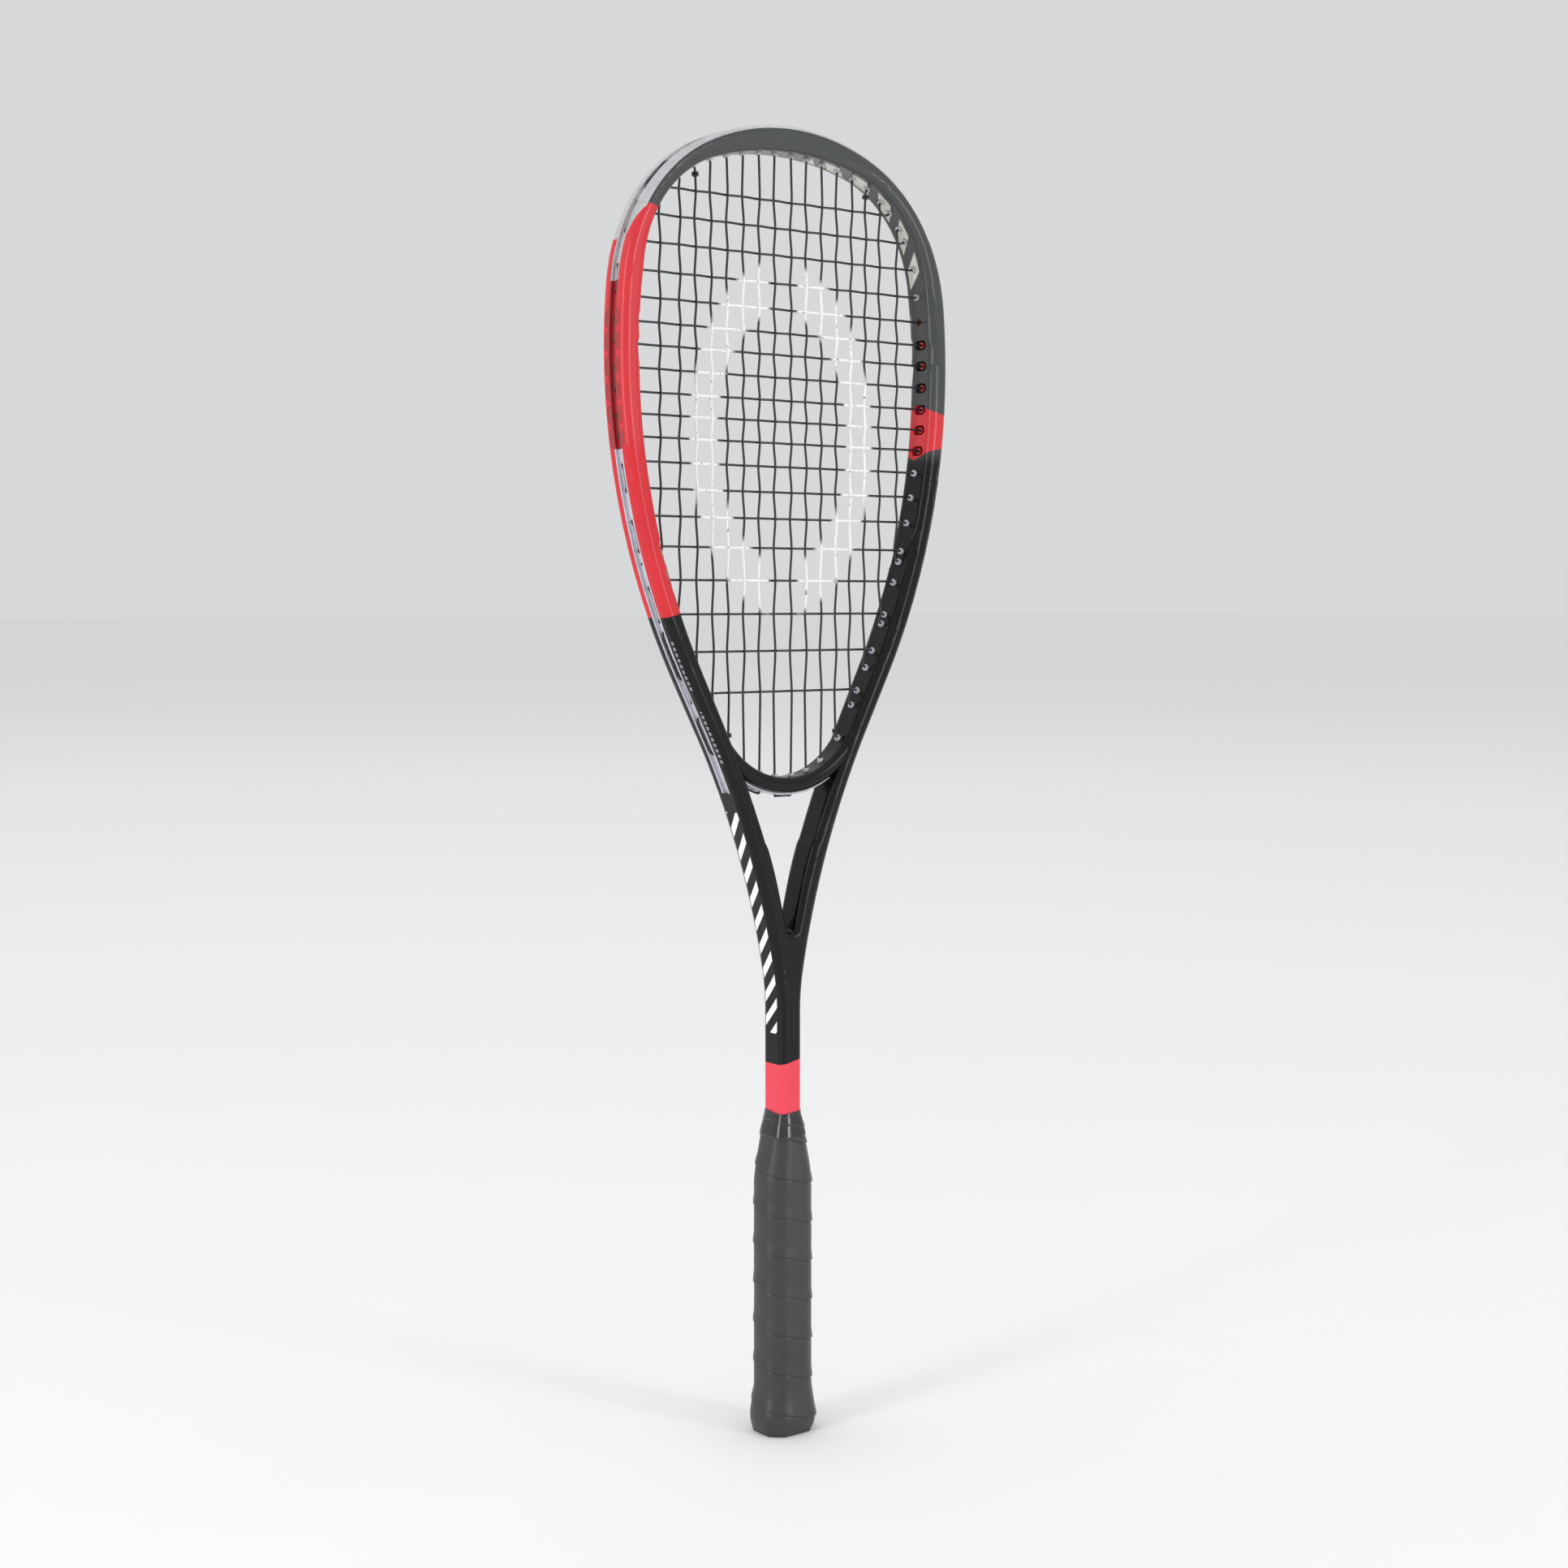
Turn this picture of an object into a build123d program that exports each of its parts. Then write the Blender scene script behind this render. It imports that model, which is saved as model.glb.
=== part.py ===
from build123d import *
import math
import os

# Squash racket, millimetres. +Z runs from the butt to the crown of the head, +X across the head,
# and the hitting faces look along -Y (front) and +Y (back). Z = 0 is the bottom of the butt cap.

# ---- driving dimensions -------------------------------------------------------------------
LENGTH = 686.0                  # butt to crown, the longest a squash racket may be
BEAM = 20.0                     # depth of the hoop along Y
SHAFT_DEPTH = 17.2              # depth of the shaft along Y
TAPER_LOW = 240.0               # between these heights the shaft's depth grows into the beam
TAPER_HIGH = 430.0
EDGE_ROUND = 4.0                # rounding of the long edges of the hoop and the arms
LONG_EDGE_Y = 8.0               # those edges stand further than this from the plane of the head
SHAFT_BOTTOM = 10.0             # the shaft runs down inside the handle to here

# Outer edge of the racket's right half from the crown down: radius and turn of each arc.
OUTER_ARCS = ((128.8, 25.3), (87.8, 40.8), (97.4, 18.6), (358.1, 32.6))
OUTER_ARM = 34.6                # straight stretch of the arm below the last arc
THROAT_ARCS = ((443.0, -17.36), (115.0, -9.94))  # hollow curves down to the shaft

# Edge of the head opening from the crown down.
OPENING_TOP = 672.5
OPENING_ARCS = ((161.3, 16.6), (65.4, 57.7), (79.8, 8.0), (348.2, 34.4))
OPENING_ARM = 36.7              # straight stretch down to where the bridge leaves the arm

# Bridge: a tube bent round an arc that meets both arms in line.
BRIDGE_TOP = 348.1
BRIDGE_RADIUS = 47.4            # radius of its upper side
BRIDGE_THICK = 8.2
BRIDGE_DEPTH = 17.0
BRIDGE_ROUND = 3.9
BRIDGE_REACH = 57.0             # degrees each side of the middle

# Inner sides of the arms below the bridge, and the pocket where they join.
# Each arc is a radius and a turn; the pair of small arcs is the step below which the arms thicken.
ARM_ARCS = ((574.5, -6.3), (12.0, 14.0), (12.0, -14.0), (200.0, -6.5))
POCKET_RUN = 21.7
POCKET_BOTTOM = 266.4

# Groove round the outside of the hoop, and the grommet strips in it.
GROOVE_WIDTH = 7.0
GROOVE_DEPTH = 2.8
STRIP_THICK = 1.0
RAIL_INNER = 2.3                # the strip's side rails start here, either side of the strings
FIT = 0.1                       # clearance between a strip and the frame
TAB_WIDTH = 12.6                # wide tabs across the beam
TAB_LENGTH = 8.6
TAB_ROUND = 2.6
TAB_DEPTH = 1.5
TAB_RUN = 3.0                   # the tab blocks reach this far either side of the outer edge
BARREL = 1.75                   # outer radius of a string barrel
BARREL_TIP = 1.3                # how far a barrel stands out of the inner wall
BARREL_BORE = 0.85
HOLE = 1.9
HOLE_RUN = 3.0                  # the holes are cut from this far inside the opening
WIDE_HOLE = (9.0, 5.4)          # open slots in the inner wall at the wide tabs
WIDE_HOLE_DEPTH = 6.5
GROOVE_END = 341.0              # the groove runs out above this height

# Bumper round the crown, and where it and the strips end.
BUMPER_THICK = 2.0
BUMPER_END = 620.0              # end of its back half, and of its front half beside the groove
BUMPER_FRONT_END = 637.0        # its front half slants up to here at the front face
BUMPER_SLANT_Y = 3.0            # the slant starts this far from the plane of the head
BUMPER_TAIL = 599.0             # its tail runs on in the groove to here
WIDE_STRIP_END = 516.0
WIDE_BARREL_TIP = -1.0
THROAT_STRIP_THICK = 1.2
THROAT_STRIP_WIDTH = 9.0
THROAT_STRIP_ROUND = 0.5
THROAT_STRIP_REACH = 30.0       # degrees each side of the middle

# Strings.
STRING = 0.61                   # radius
WEAVE = 0.92                    # corner height of the weave, before the corners are rounded
END_WEAVE = 1.75                # the same where the other string is too near its end to weave
BEND_INSET = 2.4                # the string bends this far inside the inner wall
LOOP_INSET = 0.95               # depth of the outer loops under the outer edge
LOOP_BULGE = 1.5                # the loops of the mains keep to +Y, those of the crosses to -Y
LOOP_RAMP = 2.6                 # run in which a loop moves aside
LOOP_RISE = 0.3                 # a loop follows the curve of the hoop, and this much of it more
LOOP_BELOW = 2.2                # depth of the loops under the bridge
BEND_REACH = 1.1                # a bend at a hole starts this far from its corner
RUN_SHARE = 0.3                 # a bend uses this share of its shorter run
LEAST_RUN = 3.2                 # no crossing is closer than this to a string's end bend
WIDEST_BEND = 60.0              # no bend's radius is larger than this
BRIDGE_LOOPS = 364.0            # string ends below this height, and nearer the middle than
BRIDGE_HALF = 30.0              # this, go through the bridge
MAIN_TOP_X = (5.4, 15.6, 25.9, 36.3, 46.6, 56.4, 65.8, 78.2)
MAIN_FOOT_X = (5.4, 15.5, 25.5, 35.8, 45.2, 55.2, 66.2, 78.3)
CROSS_Z = (648.0, 634.0, 620.0, 605.5, 592.2, 579.9, 568.6, 556.8, 545.0, 534.0,
           522.7, 510.4, 497.1, 483.3, 468.0, 451.1, 433.7, 414.4, 393.1)
WIDE_CROSSES = (5, 6, 7, 8, 9, 10)

# Tie-off knots: two turns round a main string, this far in from its end bend.
KNOT_TURNS = (2.2, 3.3)
KNOT_RADIUS = 1.25
KNOT_CORD = 0.6
KNOT_TOP = 5                    # the knots sit on these mains, counted from the middle
KNOT_FOOT = 3

# Handle: height, half width, half depth and corner cut of the eight-sided body under the wrap.
HANDLE = ((0.0, 14.3, 12.1, 5.8), (2.0, 15.1, 12.9, 6.2), (5.0, 15.5, 13.3, 6.4),
          (8.5, 15.6, 13.4, 6.4), (13.0, 15.2, 13.0, 6.3), (18.0, 14.4, 12.3, 6.1),
          (25.0, 13.6, 11.6, 6.0), (136.0, 13.6, 11.6, 6.0), (146.0, 11.7, 10.8, 5.3),
          (156.0, 9.4, 10.0, 4.3), (160.0, 9.0, 9.9, 4.2))
CORNER_GROWTH = 0.59            # the corner cut's share of an even growth all round
GRIP_THICK = 1.9
GRIP_BOTTOM = 0.6
GRIP_TOP = 158.5
PALLET_BOTTOM = 2.5
PALLET_TOP = 156.0
CAP_HEIGHT = 24.0
CAP_CORE = (11.6, 9.6, 5.2)     # the pallet's half width, half depth and corner cut in the cap
TAPE = ((156.0, 11.9, 12.5), (158.5, 11.5, 12.1), (161.5, 9.4, 10.4), (164.5, 8.2, 9.6),
        (172.5, 8.0, 9.4))      # height, half width and half depth of the finishing tape
TAPE_ROUND = 4.4
STAPLE_Z = 7.0
STAPLE_WIRE = 1.2
STAPLE_SPAN = 9.0
STAPLE_CROWN = 13.3             # how far its crown stands from the middle of the handle
STAPLE_LEG = 6.0

os.makedirs("parts", exist_ok=True)


# ---- outlines -------------------------------------------------------------------------------
def arc_chain(start, heading, arcs, inset=0.0):
    """Arcs in line with each other, turning clockwise, each one moved inward by inset."""
    for radius, turn in arcs:
        arc = JernArc(start, heading, radius - inset, -turn)
        start = arc @ 1
        heading = arc % 1
    return arc


def outer_edge(inset, both=True):
    """Outer edge of hoop, arms and shaft, moved inward by inset, in the plane of the head."""
    with BuildLine() as edge:
        hoop = arc_chain((0, LENGTH - inset), (1, 0), OUTER_ARCS, inset)
        arm = Line(hoop @ 1, (hoop @ 1) + (hoop % 1) * OUTER_ARM)
        neck = arc_chain(arm @ 1, arm % 1, THROAT_ARCS, -inset)
        corner = Vector((neck @ 1).X, SHAFT_BOTTOM)
        Line(neck @ 1, corner)
        if both:
            mirror(about=Plane.YZ)
            Line(corner, (-corner.X, SHAFT_BOTTOM))
    return edge.line


def opening_edge(inset, both=True):
    """Edge of the head opening, moved inward by inset; the bridge closes it at the bottom."""
    with BuildLine() as edge:
        hoop = arc_chain((0, OPENING_TOP - inset), (1, 0), OPENING_ARCS, inset)
        arm = Line(hoop @ 1, (hoop @ 1) + (hoop % 1) * OPENING_ARM)
        TangentArc(arm @ 1, (0, BRIDGE_TOP + inset), tangent=arm % 1)
        if both:
            mirror(about=Plane.YZ)
    return edge.line


def window_edge():
    """Edge of the whole opening inside hoop and arms, as it is before the bridge goes in."""
    with BuildLine() as edge:
        hoop = arc_chain((0, OPENING_TOP), (1, 0), OPENING_ARCS)
        arm = Line(hoop @ 1, (hoop @ 1) + (hoop % 1) * OPENING_ARM)
        inner = arc_chain(arm @ 1, arm % 1, ARM_ARCS)
        run = Line(inner @ 1, (inner @ 1) + (inner % 1) * POCKET_RUN)
        TangentArc(run @ 1, (0, POCKET_BOTTOM), tangent=run % 1)
        mirror(about=Plane.YZ)
    return edge.line


def plate(edge, depth, hole=None):
    """A flat plate of the given depth, with its outline on the plane of the head."""
    with BuildPart() as made:
        with BuildSketch(Plane.XZ):
            add(edge)
            make_face()
            if hole is not None:
                with BuildSketch(mode=Mode.SUBTRACT):
                    add(hole)
                    make_face()
        extrude(amount=depth / 2, both=True)
    return made.part


def ring(outside, inside, depth):
    """What lies between two insets of the outer edge, as deep as given, above the groove's end."""
    with BuildPart() as made:
        add(plate(outer_edge(outside), depth))
        add(plate(outer_edge(inside), depth + 1), mode=Mode.SUBTRACT)
        split(bisect_by=Plane.XY.offset(GROOVE_END), keep=Keep.TOP)
    return made.part


def between(part, low, high):
    """The right half of a part, from one height to another."""
    with BuildPart() as made:
        add(part)
        split(bisect_by=Plane.XY.offset(low), keep=Keep.TOP)
        split(bisect_by=Plane.XY.offset(high), keep=Keep.BOTTOM)
        split(bisect_by=Plane.YZ, keep=Keep.TOP)
    return made.part


# ---- string holes ---------------------------------------------------------------------------
bridge_centre = BRIDGE_TOP + BRIDGE_RADIUS
bend_line = Wire(opening_edge(BEND_INSET, both=False).edges())
outer_line = Wire(outer_edge(0, both=False).edges())


def along(measure, value, low, high):
    """Parameter on the bend line, between low and high, where measure(point) equals value."""
    rising = measure(bend_line @ high) > measure(bend_line @ low)
    for _ in range(40):
        middle = (low + high) / 2
        if (measure(bend_line @ middle) < value) == rising:
            low = middle
        else:
            high = middle
    return (low + high) / 2


def widest():
    """Parameter of the widest point of the bend line."""
    steps = [i / 200 for i in range(201)]
    return max(steps, key=lambda t: (bend_line @ t).X)


def bridge_height(x, below):
    """Height of the bridge's upper side at x, or of a line this far below it."""
    return bridge_centre - math.sqrt((BRIDGE_RADIUS + below) ** 2 - x ** 2)


class StringHole:
    """A string hole: where the string bends, which way it leads out, and how deep it is.

    wall is on the inner wall, depth is the way from there to the outer edge, and loop is the way
    to where the string turns into its outer loop. Holes in the bridge all lead straight down.
    """

    def __init__(self, parameter, side=1):
        bend = bend_line @ parameter
        heading = bend_line % parameter
        self.bend = Vector(bend.X * side, 0, bend.Y)
        if bend.Y < BRIDGE_LOOPS and bend.X < BRIDGE_HALF:
            self.normal = Vector(0, 0, -1)
            self.wall = Vector(self.bend.X, 0, bridge_height(bend.X, 0))
            self.depth = self.wall.Z - bridge_height(bend.X, BRIDGE_THICK)
            self.loop = self.wall.Z - bridge_height(bend.X, BRIDGE_THICK + LOOP_BELOW)
        else:
            self.normal = Vector(-heading.Y * side, 0, heading.X)
            self.wall = self.bend + self.normal * BEND_INSET
            self.depth = outer_line.distance_to(Vector(self.wall.X * side, self.wall.Z))
            self.loop = self.depth - LOOP_INSET

    def at(self, distance, y=0.0):
        """Point on the hole's axis, this far out from the inner wall."""
        point = self.wall + self.normal * distance
        return Vector(point.X, y, point.Z)

    def plane(self, distance=0.0):
        """Plane across the hole, with its x axis along Y."""
        return Plane(origin=self.at(distance), x_dir=(0, 1, 0), z_dir=self.normal)


split_at = widest()
main_tops = [along(lambda p: p.X, x, 0.0, split_at) for x in MAIN_TOP_X]
main_feet = [along(lambda p: p.X, x, split_at, 1.0) for x in MAIN_FOOT_X]
cross_ends = [along(lambda p: p.Y, z, 0.0, 1.0) for z in CROSS_Z]
arm_feet = main_feet[3:]        # these mains end on the arms, the rest on the bridge


def holes(parameters, sides=(-1, 1)):
    """String holes at these parameters of the bend line, on the given sides."""
    return [StringHole(t, side) for t in parameters for side in sides]


crown_ends = main_tops + cross_ends[:4]
upper_side_ends = cross_ends[4:11]
lower_side_ends = cross_ends[11:] + arm_feet
hoop_holes = holes(main_tops + cross_ends + arm_feet)
bridge_holes = holes(main_feet[:3])


def rods(string_holes, radius, start, end):
    """Rods on the holes' axes, from start past the inner wall to end short of the outer edge."""
    with BuildPart() as made:
        for hole in string_holes:
            length = hole.depth - end - start
            with Locations(Location(hole.plane(start + length / 2))):
                Cylinder(radius, length)
    return made.part


def tab_blocks(sides, grow):
    """Blocks that stand through the outer wall at the wide tabs, grown by a clearance."""
    with BuildPart() as made:
        for hole in holes([cross_ends[i] for i in WIDE_CROSSES], sides):
            with BuildSketch(hole.plane(hole.depth - TAB_RUN)):
                RectangleRounded(TAB_WIDTH + 2 * grow, TAB_LENGTH + 2 * grow, TAB_ROUND)
            extrude(amount=2 * TAB_RUN)
    return made.part


# ---- frame: hoop, arms and shaft in one moulding ----------------------------------------------
with BuildPart() as moulding:
    add(plate(outer_edge(0), BEAM, window_edge()))
    with BuildSketch(Plane.YZ):
        with BuildLine():
            Polyline((0, SHAFT_BOTTOM), (SHAFT_DEPTH / 2, SHAFT_BOTTOM), (SHAFT_DEPTH / 2, TAPER_LOW))
            Spline((SHAFT_DEPTH / 2, TAPER_LOW), (BEAM / 2, TAPER_HIGH), tangents=((0, 1), (0, 1)))
            Polyline((BEAM / 2, TAPER_HIGH), (BEAM / 2, LENGTH + 1), (0, LENGTH + 1))
            mirror(about=Plane.YZ)
        make_face()
    extrude(amount=LENGTH, both=True, mode=Mode.INTERSECT)
    long_edges = moulding.edges().filter_by(
        lambda e: min(abs((e @ t).Y) for t in (0, 0.5, 1)) > LONG_EDGE_Y)
    fillet(long_edges.filter_by(lambda e: e.bounding_box().size.Z > 0.1), EDGE_ROUND)

with BuildPart() as crown_recess:
    add(ring(-1, BUMPER_THICK, BEAM + 1))
    split(bisect_by=Plane.XY.offset(BUMPER_END), keep=Keep.TOP)
    slant = (BUMPER_FRONT_END - BUMPER_END) / (BEAM / 2 - BUMPER_SLANT_Y)
    with BuildSketch(Plane.YZ):
        with BuildLine():
            Polyline((-BUMPER_SLANT_Y, BUMPER_END), (-BEAM, BUMPER_END + slant * (BEAM - BUMPER_SLANT_Y)),
                     (-BEAM, BUMPER_END - 1), (-BUMPER_SLANT_Y, BUMPER_END - 1), close=True)
        make_face()
    extrude(amount=LENGTH, both=True, mode=Mode.SUBTRACT)

with BuildPart() as tab_recess:
    add(tab_blocks((-1, 1), FIT))
    add(ring(-2, TAB_DEPTH + FIT, BEAM), mode=Mode.INTERSECT)

wide_ends = [cross_ends[i] for i in WIDE_CROSSES]
with BuildPart() as frame:
    add(moulding.part)
    add(ring(-1, GROOVE_DEPTH, GROOVE_WIDTH), mode=Mode.SUBTRACT)
    add(crown_recess.part, mode=Mode.SUBTRACT)
    add(tab_recess.part, mode=Mode.SUBTRACT)
    add(rods(hoop_holes, HOLE, -HOLE_RUN, 0), mode=Mode.SUBTRACT)
    for hole in holes(wide_ends):
        with BuildSketch(hole.plane(-HOLE_RUN)):
            SlotOverall(*WIDE_HOLE)
        extrude(amount=WIDE_HOLE_DEPTH + HOLE_RUN, mode=Mode.SUBTRACT)
frame.part.label = "frame"

# ---- throat bridge: a round-edged tube between the arms ----------------------------------------
with BuildPart() as bridge_tube:
    with BuildSketch(Plane.YZ):
        with Locations((0, BRIDGE_TOP - BRIDGE_THICK / 2)):
            RectangleRounded(BRIDGE_DEPTH, BRIDGE_THICK, BRIDGE_ROUND)
    revolve(axis=Axis((0, 0, bridge_centre), (0, 1, 0)), revolution_arc=BRIDGE_REACH)
    mirror(about=Plane.YZ)

with BuildPart() as throat_bridge:
    add(bridge_tube.part)
    add(moulding.part, mode=Mode.SUBTRACT)
    add(rods(bridge_holes, HOLE, -BEAM, -BEAM), mode=Mode.SUBTRACT)
    add(rods(holes(arm_feet[:1]), HOLE, -HOLE_RUN, 0), mode=Mode.SUBTRACT)
throat_bridge.part.label = "throat_bridge"


# ---- bumper guard and grommet strips ------------------------------------------------------------
def strip_profile():
    """The strips' section all round the groove: a floor with a rail along each side."""
    with BuildPart() as made:
        add(ring(FIT, GROOVE_DEPTH, GROOVE_WIDTH - 2 * FIT))
        add(ring(-1, GROOVE_DEPTH - STRIP_THICK, 2 * RAIL_INNER), mode=Mode.SUBTRACT)
    return made.part


def strip(low, high, ends, tip):
    """A right-hand strip between two heights, with barrels at these string holes."""
    seats = [StringHole(t) for t in ends]
    with BuildPart() as made:
        add(between(strip_section, low, high))
        add(rods(seats, BARREL, -tip, GROOVE_DEPTH))
        add(rods(seats, BARREL_BORE, -BEAM, -BEAM), mode=Mode.SUBTRACT)
    return made.part


strip_section = strip_profile()

with BuildPart() as tail:
    add(strip_section)
    split(bisect_by=Plane.XY.offset(BUMPER_TAIL), keep=Keep.TOP)

with BuildPart() as bumper_guard:
    add(moulding.part)
    add(crown_recess.part, mode=Mode.INTERSECT)
    add(ring(-1, GROOVE_DEPTH, 2 * RAIL_INNER), mode=Mode.SUBTRACT)
    add(tail.part)
    add(rods(holes(crown_ends), BARREL, -BARREL_TIP, GROOVE_DEPTH))
    add(rods(holes(crown_ends), BARREL_BORE, -BEAM, -BEAM), mode=Mode.SUBTRACT)
bumper_guard.part.label = "bumper_guard"

with BuildPart() as wide_strip_right:
    add(tab_blocks((1,), 0))
    add(ring(FIT, TAB_DEPTH, BEAM), mode=Mode.INTERSECT)
    add(ring(-1, GROOVE_DEPTH - STRIP_THICK, 2 * RAIL_INNER), mode=Mode.SUBTRACT)
    add(strip(WIDE_STRIP_END, BUMPER_TAIL - FIT, upper_side_ends, WIDE_BARREL_TIP))
wide_strip_right.part.label = "wide_grommet_strip_right"

with BuildPart() as wide_strip_left:
    mirror(wide_strip_right.part, about=Plane.YZ)
wide_strip_left.part.label = "wide_grommet_strip_left"

with BuildPart() as lower_strip_right:
    add(strip(GROOVE_END, WIDE_STRIP_END - FIT, lower_side_ends, BARREL_TIP))
lower_strip_right.part.label = "lower_grommet_strip_right"

with BuildPart() as lower_strip_left:
    mirror(lower_strip_right.part, about=Plane.YZ)
lower_strip_left.part.label = "lower_grommet_strip_left"

with BuildPart() as throat_strip:
    with BuildSketch(Plane.YZ):
        with Locations((0, BRIDGE_TOP - BRIDGE_THICK - THROAT_STRIP_THICK / 2)):
            RectangleRounded(THROAT_STRIP_WIDTH, THROAT_STRIP_THICK, THROAT_STRIP_ROUND)
    revolve(axis=Axis((0, 0, bridge_centre), (0, 1, 0)), revolution_arc=THROAT_STRIP_REACH)
    mirror(about=Plane.YZ)
    add(moulding.part, mode=Mode.SUBTRACT)
    add(rods(bridge_holes, BARREL, -BARREL_TIP, -THROAT_STRIP_THICK / 2))
    add(rods(bridge_holes, BARREL_BORE, -BEAM, -BEAM), mode=Mode.SUBTRACT)
throat_strip.part.label = "throat_grommet_strip"


# ---- strings ------------------------------------------------------------------------------------
def corner_radii(points, limit):
    """Bend radius at each inner point of a route: as large as its runs allow, up to limit.

    Points at a hole are the ones at Y = 0, and bend short, to stay clear of the barrel.
    """
    radii = []
    for before, here, after in zip(points, points[1:], points[2:]):
        turn = math.radians((here - before).get_angle(after - here))
        reach = RUN_SHARE * min((here - before).length, (after - here).length)
        if here.Y == 0:
            reach = min(reach, BEND_REACH)
        radii.append(min(limit, reach / math.tan(turn / 2)))
    return radii


def cord(points):
    """A string along a route, its bends rounded, with a round section."""
    with BuildPart() as made:
        with BuildLine() as route:
            FilletPolyline(*points, radius=corner_radii(points, WIDEST_BEND))
        with BuildSketch(Plane(origin=route.line @ 0, z_dir=route.line % 0)):
            Circle(STRING)
        sweep()
    return made.part


def bed_points(start, finish, crossings):
    """Points of one string of the bed: each crossing is a place along it and a height along Y."""
    span = finish - start
    points = [start]
    for share, height in sorted(crossings):
        place = start + span * share
        clear = min(share, 1 - share) * span.length
        if clear > LEAST_RUN:
            points.append(Vector(place.X, height, place.Z))
    return points + [finish]


def outer_loop(here, there, bulge):
    """Points of the loop outside the hoop or under the bridge, from one hole to the next."""
    first = here.at(here.loop)
    last = there.at(there.loop)
    run = (last - first).length
    swell = run / 2 * math.tan(math.radians(here.normal.get_angle(there.normal)) / 4)
    points = [first]
    for share in (LOOP_RAMP / run, 1 - LOOP_RAMP / run):
        outward = (here.normal * (1 - share) + there.normal * share).normalized()
        rise = swell * (4 * share * (1 - share) + LOOP_RISE)
        point = first + (last - first) * share + outward * rise
        points.append(Vector(point.X, bulge, point.Z))
    return points + [last]


def serpentine(runs, bulge):
    """Route of one string: each run is its two holes and its crossings, joined by outer loops."""
    first = runs[0][0]
    route = [first.at(first.loop)]
    for number, (start, finish, crossings) in enumerate(runs):
        route += bed_points(start.bend, finish.bend, crossings)
        if number + 1 < len(runs):
            route += outer_loop(finish, runs[number + 1][0], bulge)
    return route + [finish.at(finish.loop)]


def crossing(first, second):
    """Shares along both strings of the place where they cross, or None."""
    across = second[1] - second[0]
    along_first = first[1] - first[0]
    gap = second[0] - first[0]
    scale = along_first.X * across.Z - along_first.Z * across.X
    share = (gap.X * across.Z - gap.Z * across.X) / scale
    other = (gap.X * along_first.Z - gap.Z * along_first.X) / scale
    return (share, other) if 0 < share < 1 and 0 < other < 1 else None


def woven_runs(strings, others, parity):
    """The runs of one string through the bed, each with its places over and under the others."""
    runs = []
    for i, (start, finish) in enumerate(strings):
        places = []
        for j, other in enumerate(others):
            span = (other[0].bend, other[1].bend)
            shares = crossing((start.bend, finish.bend), span)
            if shares is not None:
                clear = min(shares[1], 1 - shares[1]) * (span[1] - span[0]).length
                height = WEAVE if clear > LEAST_RUN else END_WEAVE
                places.append((shares[0], height if (i + j) % 2 == parity else -height))
        runs.append((start, finish, places))
    return runs


mains = []
mains_a_side = len(MAIN_TOP_X)
for side, indices in ((-1, reversed(range(mains_a_side))), (1, range(mains_a_side))):
    for i in indices:
        foot = StringHole(main_feet[i], side)
        top = StringHole(main_tops[i], side)
        mains.append((foot, top) if len(mains) % 2 == 0 else (top, foot))

crosses = []
for t in cross_ends:
    left = StringHole(t, -1)
    right = StringHole(t, 1)
    crosses.append((left, right) if len(crosses) % 2 == 0 else (right, left))

main_runs = woven_runs(mains, crosses, 1)
main_route = serpentine(main_runs, LOOP_BULGE)
cross_route = serpentine(woven_runs(crosses, mains, 0), -LOOP_BULGE)

with BuildPart() as main_string:
    add(cord(main_route))
main_string.part.label = "main_string"

with BuildPart() as cross_string:
    add(cord(cross_route))
cross_string.part.label = "cross_string"

# ---- tie-off knots ------------------------------------------------------------------------------
def end_run(run, up):
    """Bend point at the upper or lower end of a main, and the direction in from there."""
    points = sorted(bed_points(run[0].bend, run[1].bend, run[2]), key=lambda p: -p.Z if up else p.Z)
    return points[0], (points[1] - points[0]).normalized()


with BuildPart() as tie_off_knots:
    for number, up in ((KNOT_TOP, True), (KNOT_FOOT, False)):
        for run in (main_runs[mains_a_side - 1 - number], main_runs[mains_a_side + number]):
            bend, inward = end_run(run, up)
            for distance in KNOT_TURNS:
                with Locations(Location(Plane(origin=bend + inward * distance, z_dir=inward))):
                    Torus(KNOT_RADIUS, KNOT_CORD)
tie_off_knots.part.label = "tie_off_knots"


# ---- handle -------------------------------------------------------------------------------------
def eight_sided(half_width, half_depth, cut):
    """Outline of the handle: a rectangle with its four corners cut off."""
    corner = ((half_width, half_depth - cut), (half_width - cut, half_depth))
    points = [corner[0], corner[1], (-corner[1][0], corner[1][1]), (-corner[0][0], corner[0][1])]
    return Polyline(*points, *((-x, -y) for x, y in points), close=True)


def handle_body(low, high, grow=0.0):
    """The handle between two heights, grown outward all round."""
    with BuildPart() as made:
        for height, half_width, half_depth, cut in HANDLE:
            with BuildSketch(Plane.XY.offset(height)):
                with BuildLine():
                    eight_sided(half_width + grow, half_depth + grow, cut + CORNER_GROWTH * grow)
                make_face()
        loft(ruled=True)
        split(bisect_by=Plane.XY.offset(low), keep=Keep.TOP)
        split(bisect_by=Plane.XY.offset(high), keep=Keep.BOTTOM)
    return made.part


with BuildPart() as cap_core:
    with BuildSketch(Plane.XY.offset(PALLET_BOTTOM)):
        with BuildLine():
            eight_sided(*CAP_CORE)
        make_face()
    extrude(amount=CAP_HEIGHT - PALLET_BOTTOM)

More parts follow.
